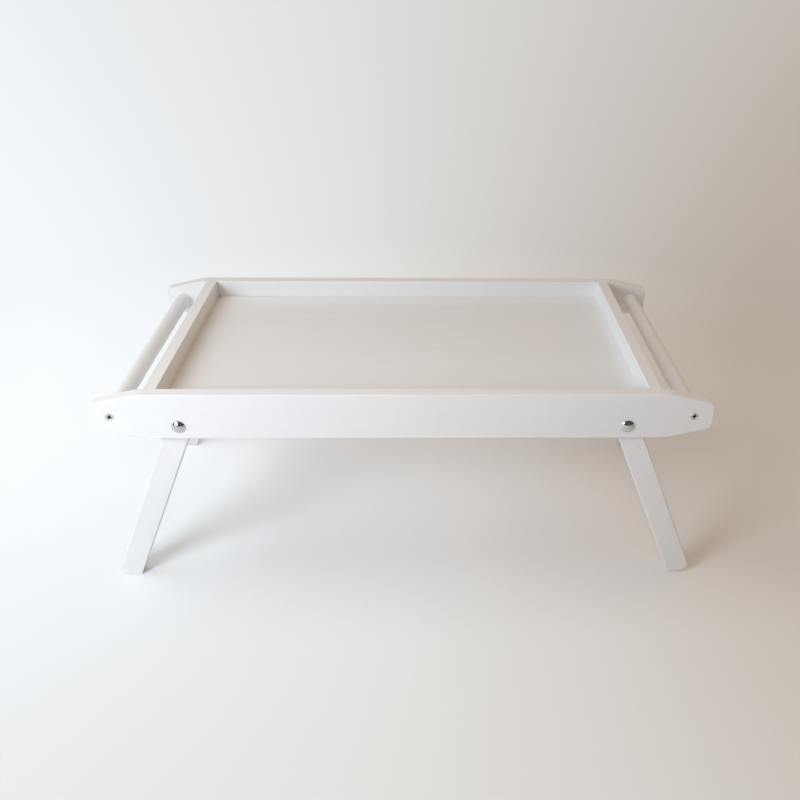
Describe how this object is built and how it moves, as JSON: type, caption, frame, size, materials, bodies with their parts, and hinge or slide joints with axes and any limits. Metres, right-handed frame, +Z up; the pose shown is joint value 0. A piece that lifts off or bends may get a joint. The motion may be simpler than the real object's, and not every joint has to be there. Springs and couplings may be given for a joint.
{
  "type": "bed tray table",
  "caption": "Folding bed tray table: a raised-rim tray with tapered side boards, round handle bars at the ends and flat splayed legs that fold up underneath.",
  "frame": {"origin": "on the ground, under the middle of the tray, with the legs out", "axes": "+X along the tray towards the right-hand handle, +Y from the front side board to the rear one, +Z up"},
  "size_m": [0.6224, 0.3066, 0.234],
  "materials": {
    "painted_wood": "satin white paint over sanded wood",
    "painted_panel": "satin white paint over thin board",
    "bare_wood": "bare beech",
    "bright_chrome": "bright chrome plate",
    "zinc_plate": "bright zinc plate",
    "pale_nylon": "natural nylon"
  },
  "bodies": {
    "tray": {"front_side_board": "painted_wood", "rear_side_board": "painted_wood", "left_end_board": "painted_wood", "right_end_board": "painted_wood", "floor_panel": "painted_panel", "left_handle_bar": "painted_wood", "right_handle_bar": "painted_wood", "front_left_handle_screw": "zinc_plate", "front_left_lower_dowel": "bare_wood", "front_left_upper_dowel": "bare_wood", "front_left_pivot_bolt": "bright_chrome", "front_left_spacer_washer": "pale_nylon", "front_left_nut_washer": "zinc_plate", "front_left_lock_nut": "zinc_plate", "front_right_handle_screw": "zinc_plate", "front_right_lower_dowel": "bare_wood", "front_right_upper_dowel": "bare_wood", "front_right_pivot_bolt": "bright_chrome", "front_right_spacer_washer": "pale_nylon", "front_right_nut_washer": "zinc_plate", "front_right_lock_nut": "zinc_plate", "rear_left_handle_screw": "zinc_plate", "rear_left_lower_dowel": "bare_wood", "rear_left_upper_dowel": "bare_wood", "rear_left_pivot_bolt": "bright_chrome", "rear_left_spacer_washer": "pale_nylon", "rear_left_nut_washer": "zinc_plate", "rear_left_lock_nut": "zinc_plate", "rear_right_handle_screw": "zinc_plate", "rear_right_lower_dowel": "bare_wood", "rear_right_upper_dowel": "bare_wood", "rear_right_pivot_bolt": "bright_chrome", "rear_right_spacer_washer": "pale_nylon", "rear_right_nut_washer": "zinc_plate", "rear_right_lock_nut": "zinc_plate"},
    "front_left_leg_body": {"front_left_leg": "painted_wood"},
    "front_right_leg_body": {"front_right_leg": "painted_wood"},
    "rear_left_leg_body": {"rear_left_leg": "painted_wood"},
    "rear_right_leg_body": {"rear_right_leg": "painted_wood"}
  },
  "joints": [
    {"name": "front_left_leg_fold", "type": "hinge", "parent": "tray", "child": "front_left_leg_body", "pos_m": [-0.2175, -0.12945, 0.1987], "axis": [0, -1, 0], "range_deg": [0, 113.3]},
    {"name": "front_right_leg_fold", "type": "hinge", "parent": "tray", "child": "front_right_leg_body", "pos_m": [0.2175, -0.12945, 0.1987], "axis": [0, 1, 0], "range_deg": [0, 113.3]},
    {"name": "rear_left_leg_fold", "type": "hinge", "parent": "tray", "child": "rear_left_leg_body", "pos_m": [-0.2175, 0.12945, 0.1987], "axis": [0, -1, 0], "range_deg": [0, 113.3]},
    {"name": "rear_right_leg_fold", "type": "hinge", "parent": "tray", "child": "rear_right_leg_body", "pos_m": [0.2175, 0.12945, 0.1987], "axis": [0, 1, 0], "range_deg": [0, 113.3]}
  ]
}
